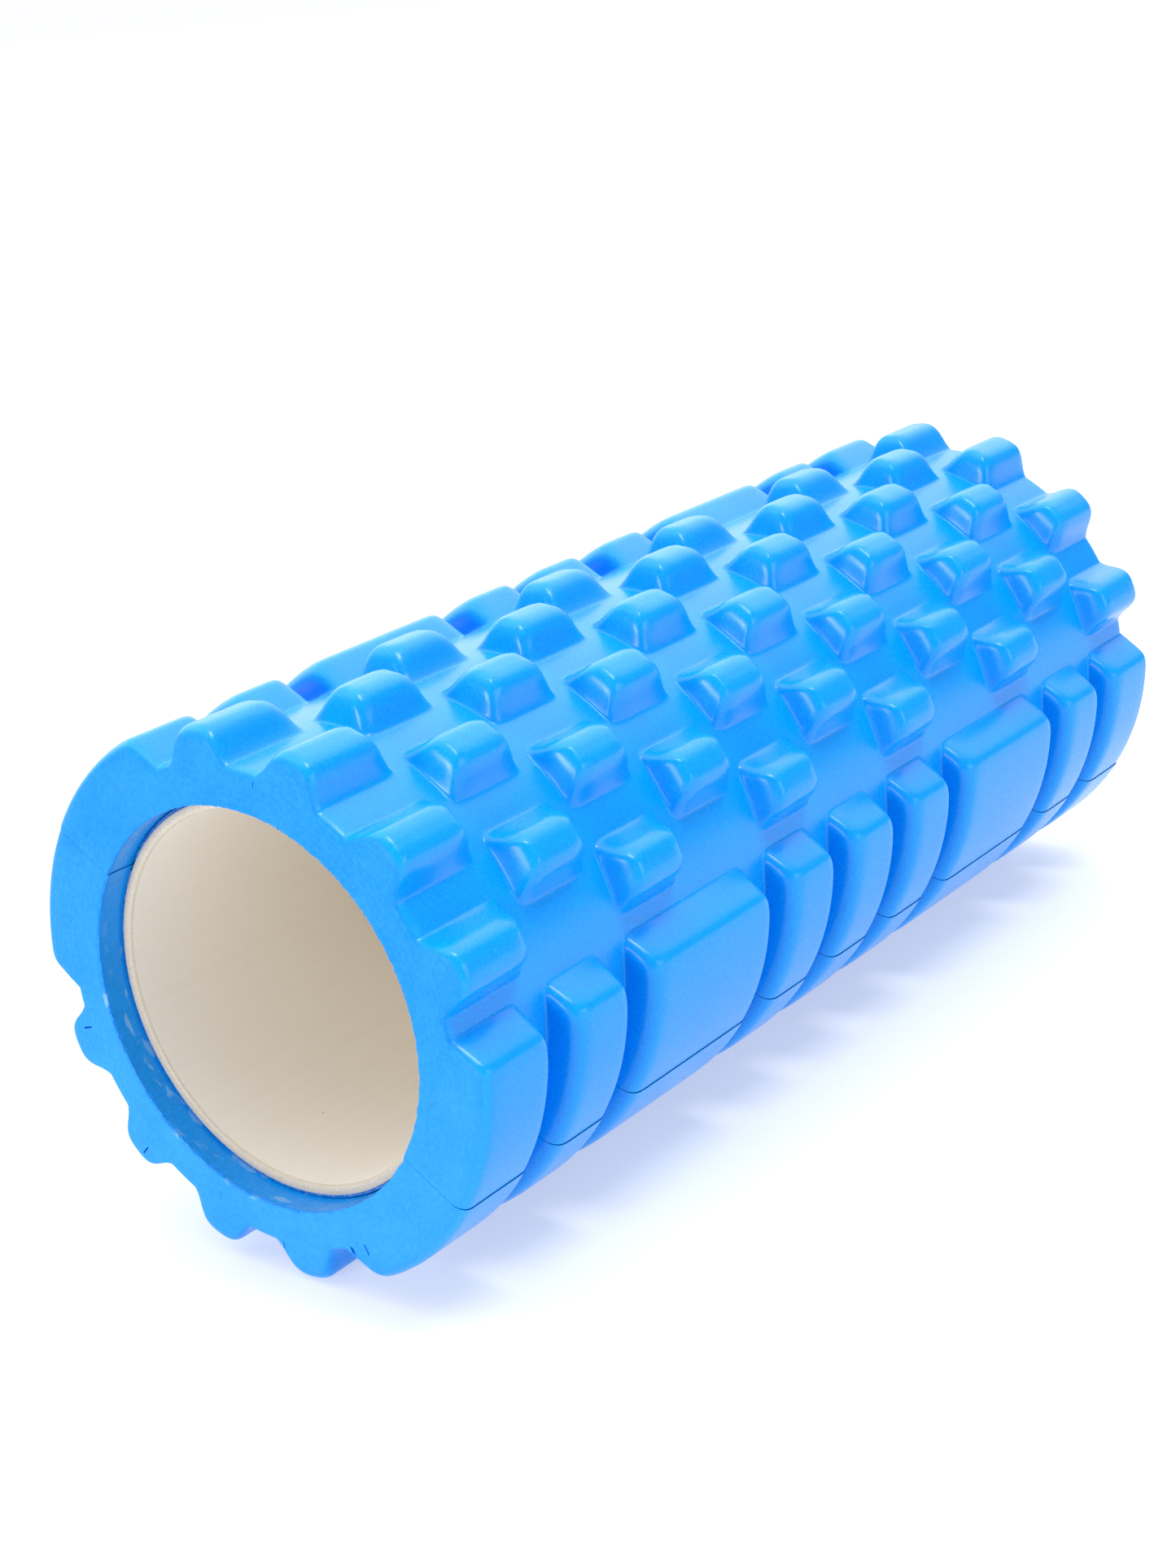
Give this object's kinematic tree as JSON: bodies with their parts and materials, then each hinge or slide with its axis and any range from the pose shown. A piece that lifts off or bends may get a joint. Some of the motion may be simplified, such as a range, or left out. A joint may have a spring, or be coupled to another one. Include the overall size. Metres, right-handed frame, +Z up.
{
  "type": "foam roller",
  "caption": "Hollow massage foam roller: a knobbed blue foam sleeve in two half shells, bonded round a stiff plastic tube with open ends.",
  "frame": {"origin": "on the floor under the middle of the roller, as it lies on two neighbouring rows of knobs", "axes": "+X along the roller's axis, +Z up, +Y across"},
  "size_m": [0.33, 0.1388, 0.1373],
  "materials": {
    "foam": "matt closed-cell foam skin, fine grain",
    "tube_plastic": "smooth satin moulded plastic",
    "adhesive": "cured contact adhesive"
  },
  "bodies": {
    "root": {"core_tube": "tube_plastic", "foam_sleeve_upper": "foam", "foam_sleeve_lower": "foam", "bond_film_upper": "adhesive", "bond_film_lower": "adhesive", "seam_adhesive_front": "adhesive", "seam_adhesive_rear": "adhesive"}
  },
  "joints": []
}
